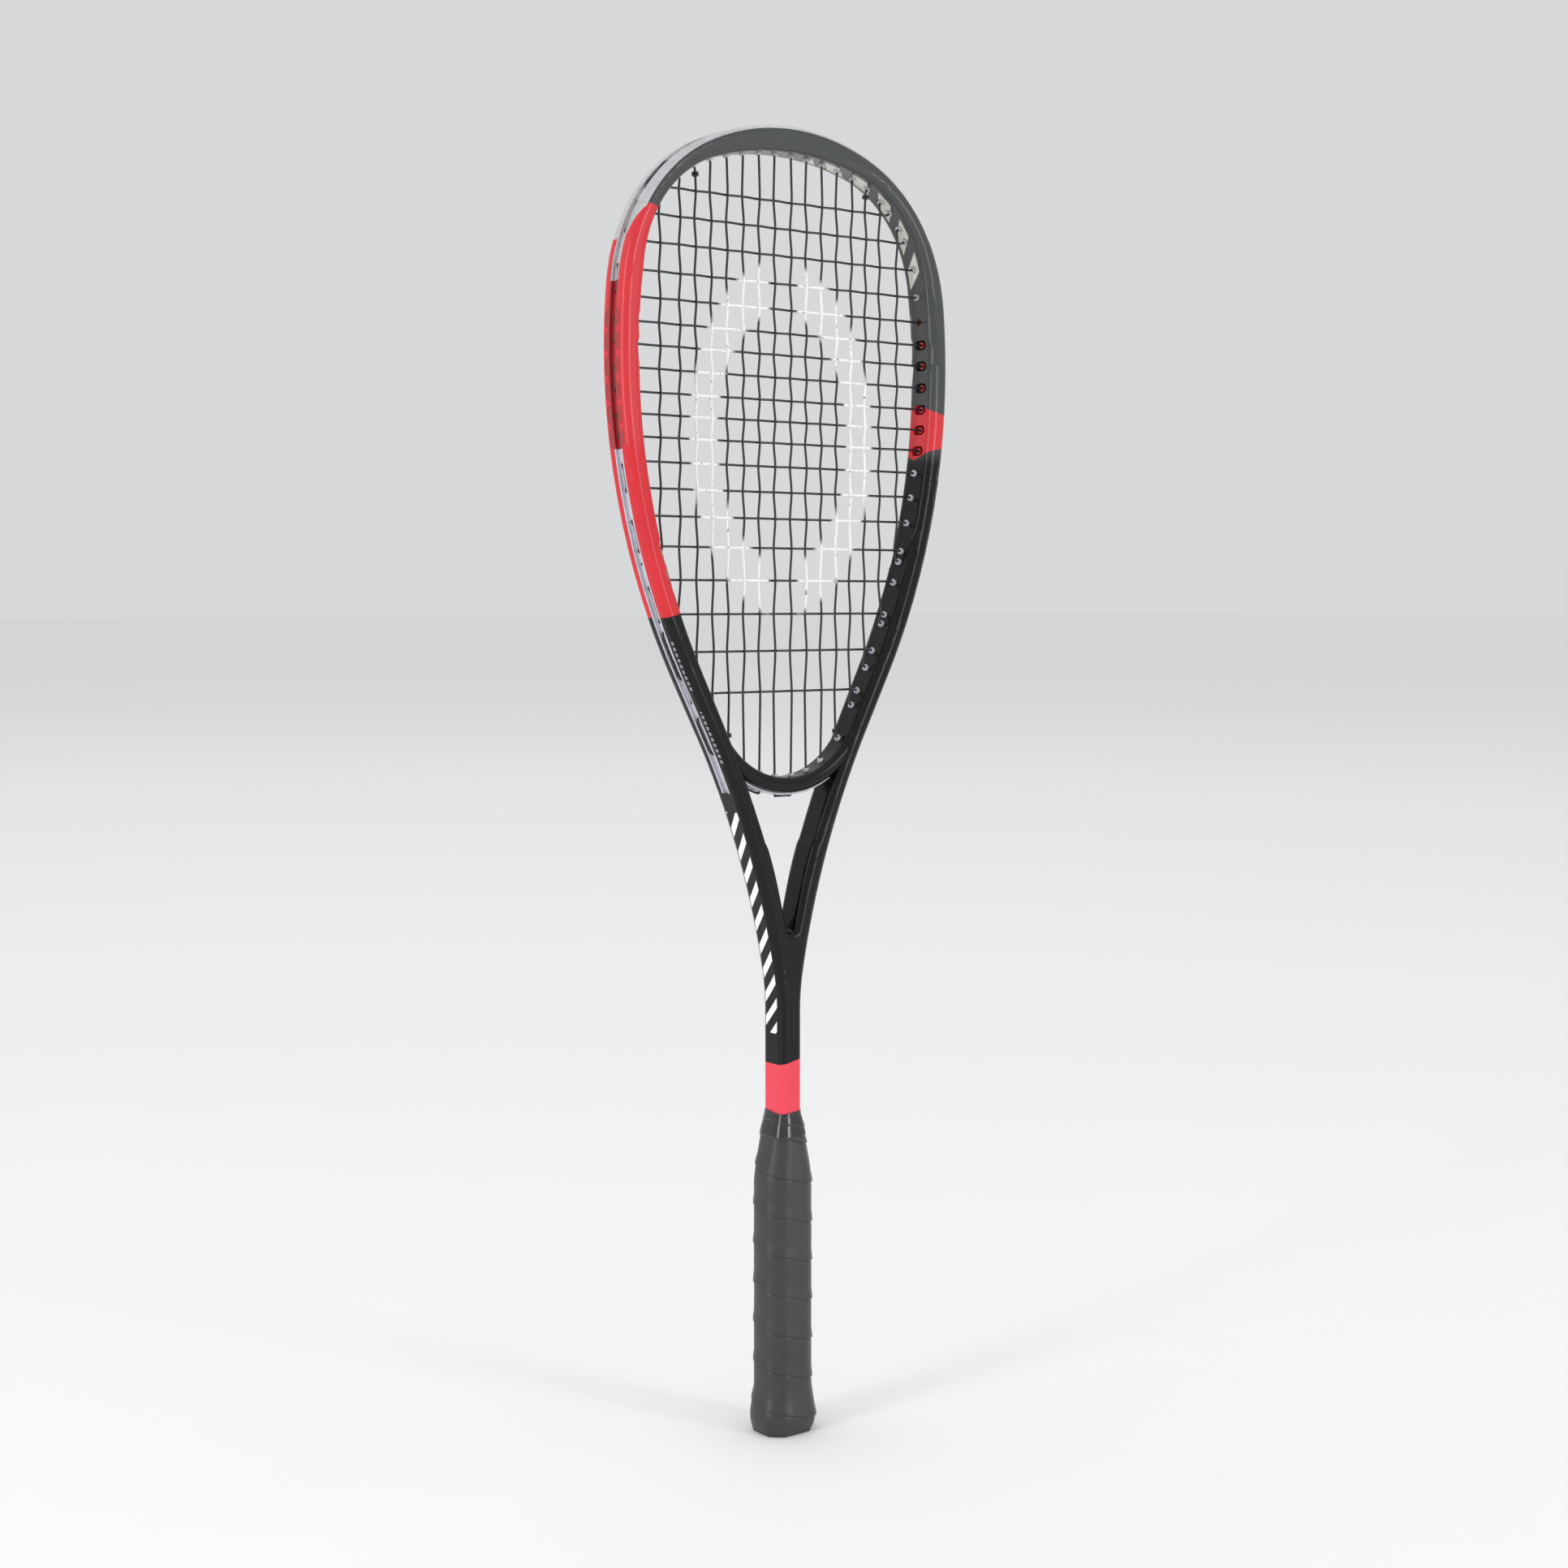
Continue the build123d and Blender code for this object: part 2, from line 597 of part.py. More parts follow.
with BuildPart() as butt_cap_staples:
    for turn in (0, 180):
        with Locations(Location((0, 0, STAPLE_Z), (0, 0, turn))):
            with Locations((0, STAPLE_CROWN - STAPLE_WIRE / 2, 0)):
                Box(STAPLE_SPAN, STAPLE_WIRE, STAPLE_WIRE)
            for x in (-1, 1):
                with Locations((x * (STAPLE_SPAN - STAPLE_WIRE) / 2, STAPLE_CROWN - STAPLE_LEG / 2, 0)):
                    Box(STAPLE_WIRE, STAPLE_LEG, STAPLE_WIRE)
butt_cap_staples.part.label = "butt_cap_staples"

with BuildPart() as handle_pallet:
    add(handle_body(CAP_HEIGHT, PALLET_TOP))
    add(cap_core.part)
    add(moulding.part, mode=Mode.SUBTRACT)
    add(butt_cap_staples.part, mode=Mode.SUBTRACT)
handle_pallet.part.label = "handle_pallet"

with BuildPart() as butt_cap:
    add(handle_body(0, CAP_HEIGHT))
    add(cap_core.part, mode=Mode.SUBTRACT)
    add(butt_cap_staples.part, mode=Mode.SUBTRACT)
    with Locations((0, 0, STAPLE_Z)):
        Box(STAPLE_SPAN, 2 * STAPLE_CROWN + 2, STAPLE_WIRE, mode=Mode.SUBTRACT)
butt_cap.part.label = "butt_cap"

with BuildPart() as grip_wrap:
    add(handle_body(GRIP_BOTTOM, GRIP_TOP, GRIP_THICK))
    add(handle_body(0, GRIP_TOP + 1), mode=Mode.SUBTRACT)
grip_wrap.part.label = "grip_wrap"

with BuildPart() as grip_finishing_tape:
    for height, half_width, half_depth in TAPE:
        with BuildSketch(Plane.XY.offset(height)):
            RectangleRounded(2 * half_width, 2 * half_depth, TAPE_ROUND)
    loft(ruled=True)
    add(grip_wrap.part, mode=Mode.SUBTRACT)
    add(handle_pallet.part, mode=Mode.SUBTRACT)
    add(moulding.part, mode=Mode.SUBTRACT)
grip_finishing_tape.part.label = "grip_finishing_tape"


# ---- one file for each piece --------------------------------------------------------------------
for piece in (frame, throat_bridge, bumper_guard, wide_strip_right, wide_strip_left,
              lower_strip_right, lower_strip_left, throat_strip, main_string, cross_string,
              tie_off_knots, handle_pallet, butt_cap, butt_cap_staples, grip_wrap,
              grip_finishing_tape):
    export_step(piece.part, f"parts/{piece.part.label}.step")
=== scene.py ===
import math

import bmesh
import bpy
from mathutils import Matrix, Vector, noise


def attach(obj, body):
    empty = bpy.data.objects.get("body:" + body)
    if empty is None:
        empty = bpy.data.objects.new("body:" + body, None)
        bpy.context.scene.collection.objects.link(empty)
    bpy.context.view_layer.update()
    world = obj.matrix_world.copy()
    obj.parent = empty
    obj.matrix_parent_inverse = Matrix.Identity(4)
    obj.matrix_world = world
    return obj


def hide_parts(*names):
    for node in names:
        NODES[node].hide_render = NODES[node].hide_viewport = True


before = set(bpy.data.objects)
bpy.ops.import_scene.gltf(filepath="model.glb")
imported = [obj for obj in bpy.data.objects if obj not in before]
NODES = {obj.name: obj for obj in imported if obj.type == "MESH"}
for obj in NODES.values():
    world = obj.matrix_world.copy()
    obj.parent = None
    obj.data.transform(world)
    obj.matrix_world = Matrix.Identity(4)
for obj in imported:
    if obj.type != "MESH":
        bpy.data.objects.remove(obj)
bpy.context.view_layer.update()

# Squash racket in metres, in the frame of the CAD model: +Z along the racket, +X across the head,
# -Y the front. Heights below are in millimetres from the butt, and MM turns them into metres.
MM = 0.001

# ---- driving values ---------------------------------------------------------------------------
# Paint: where each patch lies along the racket. A slant is the rise for each unit across the head.
RED_LEFT = {"low": 432.2, "low_at": -80.0, "low_slant": 0.26,
            "high": 636.6, "high_at": -88.2, "high_slant": -0.22}
RED_RIGHT = {"low": 517.3, "high": 547.7, "ridge": 2.0, "climb": 0.42, "fall": 0.34,
             "outer": 96.0, "outer_climb": 0.19, "outer_fall": 0.23}
RED_SHAFT = 198.2                   # on the shaft, from the tape up to here
RED_SHAFT_SLANT = 0.2
DARK_BELOW = 519.0                  # the lacquer is nearly black below this height
DARK_FADE = 6.0                     # half the height over which it turns

# Plain marks: half width and middle across the beam, pitch, and the share of it that is painted.
INNER_MARKS = {"half": 4.6, "middle": 0.4, "slant": 0.9, "pitch": 17.0, "share": 0.56,
               "centre": 560.0, "radius": 100.0, "from_angle": 0.50, "to_angle": 1.42}
ARM_MARKS = {"half": 4.8, "middle": 0.6, "slant": 1.1, "pitch": 12.6, "share": 0.42,
             "low": 213.0, "high": 331.0}
SMALL_MARKS = {"half": 0.75, "middle": -6.4, "pitch": 2.9, "share": 0.6,
               "rows": ((356.0, 384.0), (394.0, 421.0))}
INWARD_LEAST = 0.045                # the inner wall faces inward at least this much
FACING_SOFT = 60.0                  # soft edges of unitless values, in thousandths
DASH_SOFT = 15.0
RING_SOFT = 25.0
ANGLE_SOFT = 8.0

# Wrap: height, half width, half depth and corner cut of its outside.
WRAP = ((0.6, 14.6, 12.3, 6.4), (2.0, 16.0, 13.8, 7.0), (5.0, 17.0, 14.8, 7.4),
        (9.0, 17.4, 15.2, 7.6), (14.0, 16.9, 14.7, 7.4), (20.0, 16.0, 13.9, 7.1),
        (27.0, 15.4, 13.4, 7.0), (132.0, 15.4, 13.4, 7.0), (142.0, 14.2, 12.9, 6.5),
        (150.0, 12.5, 12.2, 5.9), (158.5, 10.7, 11.5, 5.2))
WRAP_ROUND = 11                     # exponent of the corners' rounding
WRAP_PITCH = 20.9                   # from one seam to the next
WRAP_SEAM = 5.0                     # height of the lowest seam at the right side
WRAP_STEP = 0.55                    # how far a turn's lower edge stands out
WRAP_LAP = 7.0                      # the lapped width behind that edge
WRAP_EDGE = 0.16                    # height in which the edge rises
WRAP_TUCK = (0.85, 0.5)             # share of the step that the next turn presses in, and its height
WRAP_INSET = 0.15
WRAP_RIPPLE = (0.12, 2.2, 21.0)     # depth, turns' scale and height of the unevenness
WRAP_HEM = (0.93, 0.86)             # the wrap's ends fold in to these shares of its size
WRAP_COLUMNS = 144

# Finishing tape: height, half width and half depth of its outside.
TAPE = ((157.0, 10.9, 11.6), (159.5, 10.7, 11.4), (163.0, 9.9, 10.8), (166.0, 9.0, 10.1),
        (169.0, 8.1, 9.5), (172.3, 7.6, 9.1))
TAPE_ROUND = 3.2                    # exponent of its outline's corners
TAPE_DIP = (0.78, 1.25 * math.pi)   # its top edge dips this far, about this angle
TAPE_WAVE = 0.8                     # its top edge waves this far
TAPE_LAP = (164.5, 2.6, 0.16)       # the upper turn's edge: height, slant and sharpness
TAPE_LAP_STEP = 0.42
TAPE_RUCK = 0.30
TAPE_LOWER = (158.1, 0.4, 0.12)     # the lower turn's edge: height, slant and sharpness
TAPE_LOWER_STEP = 0.30
TAPE_INSET = 0.5
TAPE_HEM = (0.96, 0.93)             # its lower and upper ends fold in to these shares
TAPE_COLUMNS = 160
TAPE_ROWS = 44

STENCIL_CENTRE = 525.0              # generic ring painted on the string bed
STENCIL_RADIUS = (60.0, 92.0)       # half width and half height
STENCIL_INNER = 0.72                # the ring's inner edge as a share of those
STENCIL_GAP = 0.16                  # half the gap at its top and bottom, as a share


# ---- node helpers -----------------------------------------------------------------------------
class Nodes:
    """Short calls for building a material's node tree."""

    def __init__(self, name):
        self.material = bpy.data.materials.new(name)
        self.material.use_nodes = True
        self.tree = self.material.node_tree
        self.tree.nodes.clear()
        self.shader = self.tree.nodes.new("ShaderNodeBsdfPrincipled")
        output = self.tree.nodes.new("ShaderNodeOutputMaterial")
        self.link(self.shader.outputs[0], output.inputs["Surface"])
        coordinates = self.tree.nodes.new("ShaderNodeTexCoord")
        self.place = coordinates.outputs["Object"]
        split = self.tree.nodes.new("ShaderNodeSeparateXYZ")
        self.link(self.place, split.inputs[0])
        self.x, self.y, self.z = split.outputs
        facing = self.tree.nodes.new("ShaderNodeSeparateXYZ")
        self.link(coordinates.outputs["Normal"], facing.inputs[0])
        self.facing_x, self.facing_y, self.facing_z = facing.outputs

    def link(self, a, b):
        self.tree.links.new(a, b)

    def feed(self, value, socket):
        if isinstance(value, bpy.types.NodeSocket):
            self.link(value, socket)
        else:
            socket.default_value = value

    def math(self, kind, a, b=0.0, c=0.0):
        node = self.tree.nodes.new("ShaderNodeMath")
        node.operation = kind
        for value, socket in zip((a, b, c), node.inputs):
            self.feed(value, socket)
        return node.outputs[0]

    def add(self, a, b):
        return self.math("ADD", a, b)

    def times(self, a, b):
        return self.math("MULTIPLY", a, b)

    def plane(self, ax, ay, az, offset):
        """ax*x + ay*y + az*z + offset, the offset in millimetres."""
        total = self.times(self.z, az)
        total = self.math("MULTIPLY_ADD", self.x, ax, total)
        total = self.math("MULTIPLY_ADD", self.y, ay, total)
        return self.add(total, offset * MM)

    def above(self, value, soft=0.12):
        """1 where the value is over zero, and 0 under it, with an edge this many millimetres wide."""
        node = self.tree.nodes.new("ShaderNodeMapRange")
        node.interpolation_type = "SMOOTHSTEP"
        self.feed(value, node.inputs["Value"])
        node.inputs["From Min"].default_value = -soft * MM
        node.inputs["From Max"].default_value = soft * MM
        return node.outputs["Result"]

    def between(self, low, high):
        """1 between two heights in millimetres."""
        return self.all(self.above(self.plane(0, 0, 1.0, -low)), self.above(self.plane(0, 0, -1.0, high)))

    def band(self, middle, half):
        """1 within a band of the beam, in millimetres along Y."""
        aside = self.math("ABSOLUTE", self.add(self.y, -middle * MM))
        return self.above(self.math("SUBTRACT", half * MM, aside))

    def left_outside(self, least):
        """1 on the outer side of the left member, where it faces left at least this much."""
        outer = self.above(self.math("SUBTRACT", -least, self.facing_x), FACING_SOFT)
        return self.all(outer, self.above(self.times(self.x, -1.0)))

    def all(self, *masks):
        total = masks[0]
        for mask in masks[1:]:
            total = self.times(total, mask)
        return total

    def either(self, *masks):
        total = masks[0]
        for mask in masks[1:]:
            total = self.math("MAXIMUM", total, mask)
        return total

    def ramp(self, value, low, high, out_low=0.0, out_high=1.0):
        node = self.tree.nodes.new("ShaderNodeMapRange")
        self.feed(value, node.inputs["Value"])
        ends = {"From Min": low, "From Max": high, "To Min": out_low, "To Max": out_high}
        for name, number in ends.items():
            node.inputs[name].default_value = number
        return node.outputs["Result"]

    def mix(self, share, a, b):
        node = self.tree.nodes.new("ShaderNodeMix")
        node.data_type = "RGBA"
        self.feed(share, node.inputs[0])
        for value, socket in ((a, node.inputs[6]), (b, node.inputs[7])):
            self.feed(value if isinstance(value, bpy.types.NodeSocket) else (*value, 1.0), socket)
        return node.outputs[2]

    def noise(self, size, detail=3.0, rough=0.5, stretch=(1, 1, 1)):
        """Noise with features about this many millimetres across."""
        node = self.tree.nodes.new("ShaderNodeTexNoise")
        mapping = self.tree.nodes.new("ShaderNodeMapping")
        mapping.inputs["Scale"].default_value = stretch
        self.link(self.place, mapping.inputs["Vector"])
        self.link(mapping.outputs[0], node.inputs["Vector"])
        node.inputs["Scale"].default_value = 1000.0 / size
        node.inputs["Detail"].default_value = detail
        node.inputs["Roughness"].default_value = rough
        return node.outputs["Fac"]

    def bump(self, height, strength, distance, onto=None):
        node = self.tree.nodes.new("ShaderNodeBump")
        node.inputs["Strength"].default_value = strength
        node.inputs["Distance"].default_value = distance * MM
        self.feed(height, node.inputs["Height"])
        if onto is not None:
            self.link(onto, node.inputs["Normal"])
        return node.outputs[0]

    def finish(self, colour, roughness, normal=None, **constants):
        """Feed the shader, and give it the values that are the same all over."""
        self.feed(colour if isinstance(colour, bpy.types.NodeSocket) else (*colour, 1.0),
                  self.shader.inputs["Base Color"])
        self.feed(roughness, self.shader.inputs["Roughness"])
        if normal is not None:
            self.link(normal, self.shader.inputs["Normal"])
        for name, value in constants.items():
            self.shader.inputs[name.replace("_", " ")].default_value = value
        return self.material


# ---- materials --------------------------------------------------------------------------------
RED = (0.70, 0.030, 0.042)
PINK_RED = (0.88, 0.070, 0.105)
CHARCOAL = (0.050, 0.054, 0.054)
NEAR_BLACK = (0.0036, 0.0036, 0.0039)
SILVER = (0.62, 0.60, 0.55)
WHITE = (0.90, 0.90, 0.90)
PALE_GREY = (0.30, 0.31, 0.32)


def red_masks(n):
    """Where the frame is red: on the left member, the right member and the shaft."""
    left = RED_LEFT
    top = left["high"] - left["high_slant"] * left["high_at"]
    bottom = left["low"] - left["low_slant"] * left["low_at"]
    on_left = n.all(n.above(n.times(n.x, -1.0)),
                    n.above(n.plane(left["high_slant"], 0.0, -1.0, top)),
                    n.above(n.plane(-left["low_slant"], 0.0, 1.0, -bottom)))
    right = RED_RIGHT
    aside = n.math("ABSOLUTE", n.add(n.y, -right["ridge"] * MM))
    outward = n.math("MAXIMUM", n.add(n.x, -right["outer"] * MM), 0.0)
    fall = n.math("MULTIPLY_ADD", aside, right["fall"], n.times(outward, right["outer_fall"]))
    climb = n.math("MULTIPLY_ADD", aside, right["climb"], n.times(outward, right["outer_climb"]))
    on_right = n.all(n.above(n.x),
                     n.above(n.math("SUBTRACT", n.plane(0, 0, -1.0, right["high"]), fall)),
                     n.above(n.math("SUBTRACT", n.plane(0, 0, 1.0, -right["low"]), climb)))
    on_shaft = n.above(n.plane(RED_SHAFT_SLANT, 0.0, -1.0, RED_SHAFT))
    return on_left, on_right, on_shaft


def frame_paint(name, with_marks):
    """Satin lacquer: charcoal above, nearly black below, with red patches and plain marks."""
    n = Nodes(name)
    cloud = n.noise(38.0, 4.0)
    flake = n.noise(0.35, 2.0, 0.7)
    upper = n.mix(cloud, CHARCOAL, tuple(c * 1.22 for c in CHARCOAL))
    lower = n.mix(cloud, NEAR_BLACK, tuple(c * 1.5 for c in NEAR_BLACK))
    charcoal = n.above(n.plane(0, 0, 1.0, -DARK_BELOW), DARK_FADE)
    colour = n.mix(charcoal, lower, upper)
    colour = n.mix(n.ramp(flake, 0.62, 0.8, 0.0, 0.22), colour, (0.20, 0.21, 0.22))
    on_left, on_right, on_shaft = red_masks(n)
    red = n.mix(n.noise(24.0, 3.0), RED, tuple(c * 0.84 for c in RED))
    colour = n.mix(n.either(on_left, on_right), colour, red)
    shaft_red = n.mix(n.noise(18.0), PINK_RED, tuple(c * 0.9 for c in PINK_RED))
    colour = n.mix(on_shaft, colour, shaft_red)
    if with_marks:
        colour = n.mix(inner_marks(n), colour, SILVER)
        colour = n.mix(arm_marks(n), colour, WHITE)
        colour = n.mix(small_marks(n), colour, PALE_GREY)
    wear = n.noise(3.2, 6.0, 0.65)
    roughness = n.ramp(wear, 0.3, 0.75, 0.24, 0.33)
    orange_peel = n.bump(n.noise(2.6, 2.0), 0.10, 0.08)
    scratches = n.bump(n.noise(0.5, 3.0, 0.6, (1, 1, 0.06)), 0.05, 0.03, orange_peel)
    n.feed(n.ramp(charcoal, 0.0, 1.0, 0.14, 0.30), n.shader.inputs["Specular IOR Level"])
    return n.finish(colour, roughness, scratches, Coat_Weight=0.20, Coat_Roughness=0.12)


def dashes(n, along, marks):
    """Dashes along an axis, as far apart and as long as the marks say."""
    phase = n.math("FRACT", n.times(n.add(along, 1.0), 1000.0 / marks["pitch"]))
    return n.above(n.math("SUBTRACT", marks["share"], phase), DASH_SOFT)


def inner_marks(n):
    """Silver bars round the inner wall of the hoop's upper right quarter."""
    marks = INNER_MARKS
    up = n.plane(0, 0, 1.0, -marks["centre"])
    toward = n.math("MULTIPLY_ADD", n.facing_x, n.x, n.times(n.facing_z, up))
    inside = n.above(n.math("SUBTRACT", -INWARD_LEAST, toward), 3.0)
    angle = n.math("ARCTAN2", up, n.x)
    sweep = n.math("MULTIPLY_ADD", n.y, marks["slant"], n.times(angle, marks["radius"] * MM))
    span = n.all(n.above(n.add(angle, -marks["from_angle"]), ANGLE_SOFT),
                 n.above(n.math("SUBTRACT", marks["to_angle"], angle), ANGLE_SOFT))
    middle = n.band(marks["middle"], marks["half"])
    return n.all(inside, middle, dashes(n, sweep, marks), span, n.above(n.x))


def arm_marks(n):
    """White slanted bars down the outer left side of the arm and the shaft."""
    marks = ARM_MARKS
    slanted = n.math("MULTIPLY_ADD", n.y, marks["slant"], n.z)
    return n.all(n.band(marks["middle"], marks["half"]), n.left_outside(0.6),
                 dashes(n, slanted, marks), n.between(marks["low"], marks["high"]))


def small_marks(n):
    """Two rows of tiny pale dashes beside the groove of the left arm."""
    marks = SMALL_MARKS
    rows = n.either(*(n.between(low, high) for low, high in marks["rows"]))
    return n.all(n.band(marks["middle"], marks["half"]), rows, n.left_outside(0.3),
                 dashes(n, n.z, marks))


def clear_plastic(name, colour, alpha, haze):
    """Translucent moulded nylon, cloudy and lightly scuffed."""
    n = Nodes(name)
    cloud = n.noise(9.0, 4.0)
    tint = n.mix(cloud, colour, tuple(min(1.0, c * 1.16) for c in colour))
    scuff = n.noise(1.4, 6.0, 0.7, (1, 1, 0.35))
    roughness = n.ramp(scuff, 0.35, 0.7, 0.16, haze)
    n.feed(n.ramp(cloud, 0.3, 0.7, alpha * 0.92, min(1.0, alpha * 1.08)), n.shader.inputs["Alpha"])
    normal = n.bump(scuff, 0.12, 0.06)
    return n.finish(tint, roughness, normal, Coat_Weight=0.4, Coat_Roughness=0.1)


def red_plastic():
    """Dark red moulded nylon."""
    n = Nodes("strip_red_nylon")
    grain = n.noise(0.7, 3.0, 0.6)
    colour = n.mix(n.noise(8.0), (0.30, 0.016, 0.022), (0.42, 0.024, 0.030))
    return n.finish(colour, n.ramp(grain, 0.3, 0.7, 0.28, 0.42), n.bump(grain, 0.15, 0.04),
                    Coat_Weight=0.2)


def string_coat(name, along):
    """Black coated string with a fine spiral of fibres, and a generic white ring across the bed."""
    n = Nodes(name)
    grain = n.noise(0.5, 4.0, 0.6, (1, 1, 0.25) if along == "z" else (0.25, 1, 1))
    colour = n.mix(grain, (0.010, 0.010, 0.011), (0.026, 0.026, 0.028))
    across = n.math("DIVIDE", n.x, STENCIL_RADIUS[0] * MM)
    up = n.math("DIVIDE", n.plane(0, 0, 1.0, -STENCIL_CENTRE), STENCIL_RADIUS[1] * MM)
    reach = n.math("SQRT", n.add(n.times(across, across), n.times(up, up)))
    ring = n.all(n.above(n.add(reach, -STENCIL_INNER), RING_SOFT),
                 n.above(n.math("SUBTRACT", 1.0, reach), RING_SOFT))
    beside = n.above(n.math("SUBTRACT", n.math("ABSOLUTE", across), STENCIL_GAP), RING_SOFT)
    paint = n.all(ring, beside, n.ramp(n.noise(1.6, 3.0), 0.25, 0.40))
    colour = n.mix(paint, colour, (0.92, 0.92, 0.92))
    return n.finish(colour, n.ramp(grain, 0.3, 0.7, 0.26, 0.40), n.bump(grain, 0.25, 0.05))


def wrap_skin():
    """Matte polyurethane grip: fine grain, soft sheen and slightly shiny handled patches."""
    n = Nodes("grip_polyurethane")
    grain = n.noise(0.42, 3.0, 0.6)
    pebble = n.tree.nodes.new("ShaderNodeTexVoronoi")
    pebble.inputs["Scale"].default_value = 1500.0
    n.link(n.place, pebble.inputs["Vector"])
    handled = n.noise(30.0, 3.0)
    colour = n.mix(handled, (0.026, 0.026, 0.026), (0.040, 0.040, 0.039))
    roughness = n.ramp(handled, 0.3, 0.7, 0.36, 0.46)
    normal = n.bump(pebble.outputs["Distance"], 0.16, 0.06)
    normal = n.bump(grain, 0.14, 0.05, normal)
    return n.finish(colour, roughness, normal, Sheen_Weight=0.04, Sheen_Roughness=0.5,
                    Specular_IOR_Level=0.5)


def tape_skin():
    """Glossy black vinyl tape with fine stretch lines."""
    n = Nodes("tape_vinyl")
    lines = n.noise(1.1, 4.0, 0.6, (0.25, 0.25, 2.2))
    colour = n.mix(lines, (0.007, 0.007, 0.008), (0.016, 0.016, 0.018))
    return n.finish(colour, n.ramp(lines, 0.3, 0.7, 0.10, 0.22), n.bump(lines, 0.3, 0.12),
                    Coat_Weight=0.5, Coat_Roughness=0.06)


def moulded_plastic(name, colour):
    """Matte moulded plastic or foam with a spark-eroded grain."""
    n = Nodes(name)
    grain = n.noise(0.6, 4.0, 0.65)
    tone = n.mix(n.noise(12.0), colour, tuple(c * 1.25 for c in colour))
    return n.finish(tone, n.ramp(grain, 0.3, 0.7, 0.48, 0.62), n.bump(grain, 0.3, 0.06))


def steel_wire():
    """Zinc-plated staple wire."""
    n = Nodes("staple_zinc")
    draw = n.noise(0.3, 3.0, 0.5, (0.1, 1, 1))
    colour = n.mix(draw, (0.50, 0.50, 0.50), (0.66, 0.66, 0.65))
    return n.finish(colour, n.ramp(draw, 0.3, 0.7, 0.25, 0.4), n.bump(draw, 0.2, 0.02), Metallic=1.0)


def give(node, material):
    """Put a material on a carried-over CAD node."""
    mesh = NODES[node].data
    mesh.materials.clear()
    mesh.materials.append(material)


def dress_nodes():
    """Materials of the CAD nodes that stay."""
    give("frame", frame_paint("frame_lacquer", True))
    give("throat_bridge", frame_paint("bridge_lacquer", False))
    give("bumper_guard", clear_plastic("bumper_nylon", (0.62, 0.63, 0.65), 0.62, 0.42))
    give("wide_grommet_strip_left", red_plastic())
    give("wide_grommet_strip_right", red_plastic())
    clear = clear_plastic("strip_nylon", (0.62, 0.61, 0.68), 0.80, 0.34)
    for node in ("lower_grommet_strip_left", "lower_grommet_strip_right", "throat_grommet_strip"):
        give(node, clear)
    give("main_string", string_coat("main_string_coat", "z"))
    give("cross_string", string_coat("cross_string_coat", "x"))
    give("tie_off_knots", string_coat("knot_string_coat", "z"))
    give("handle_pallet", moulded_plastic("pallet_foam", (0.20, 0.19, 0.18)))
    give("butt_cap", moulded_plastic("cap_plastic", (0.035, 0.035, 0.037)))
    give("butt_cap_staples", steel_wire())


# ---- grip -------------------------------------------------------------------------------------
def smooth_value(stations, height, column):
    """A smooth curve through one column of a list of stations, read at a height."""
    heights = [s[0] for s in stations]
    values = [s[column] for s in stations]
    slopes = []
    for i in range(len(stations)):
        low = max(0, i - 1)
        high = min(len(stations) - 1, i + 1)
        steps = [(values[k + 1] - values[k]) / (heights[k + 1] - heights[k]) for k in range(low, high)]
        level = min(steps) * max(steps) <= 0
        slopes.append(0.0 if level else sum(steps) / len(steps))
    height = min(max(height, heights[0]), heights[-1])
    i = max(k for k in range(len(stations) - 1) if heights[k] <= height)
    run = heights[i + 1] - heights[i]
    t = (height - heights[i]) / run
    start = (2 * t ** 3 - 3 * t ** 2 + 1) * values[i] + (t ** 3 - 2 * t ** 2 + t) * run * slopes[i]
    end = (3 * t ** 2 - 2 * t ** 3) * values[i + 1] + (t ** 3 - t ** 2) * run * slopes[i + 1]
    return start + end


def wrap_radius(height, angle):
    """Distance from the axis to a soft-cornered eight-sided outline."""
    width = smooth_value(WRAP, height, 1)
    depth = smooth_value(WRAP, height, 2)
    cut = smooth_value(WRAP, height, 3)
    facing = (abs(math.cos(angle)) / width, abs(math.sin(angle)) / depth,
              (abs(math.cos(angle)) + abs(math.sin(angle))) / (width + depth - cut))
    return sum(f ** WRAP_ROUND for f in facing) ** (-1 / WRAP_ROUND)


def lap(share):
    """How far the wrap stands out at a share of the pitch above a seam."""
    behind = share * WRAP_PITCH
    edge = 1 - math.exp(-behind / WRAP_EDGE)
    fade = 0.5 + 0.5 * math.cos(math.pi * min(1.0, behind / WRAP_LAP))
    pressed, height = WRAP_TUCK
    tuck = math.exp(-(WRAP_PITCH - behind) / height)
    return WRAP_STEP * (edge * fade - pressed * tuck)


def wrap_point(height, angle, share):
    """A point of the wrap's outside."""
    depth, turns, rise = WRAP_RIPPLE
    ripple = noise.noise(Vector((math.cos(angle) * turns, math.sin(angle) * turns, height / rise)))
    radius = wrap_radius(height, angle) - WRAP_INSET + (depth * ripple + lap(share))
    return Vector((radius * math.cos(angle), radius * math.sin(angle), height)) * MM


def place_piece(name, mesh, material, node):
    """Turn a finished mesh into the piece that stands for a CAD node."""
    bmesh.ops.recalc_face_normals(mesh, faces=mesh.faces)
    data = bpy.data.meshes.new(name)
    mesh.to_mesh(data)
    mesh.free()
    data.materials.append(material)
    data.shade_smooth()
    piece = bpy.data.objects.new(name, data)
    bpy.context.scene.collection.objects.link(piece)
    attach(piece, "root")
    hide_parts(node)


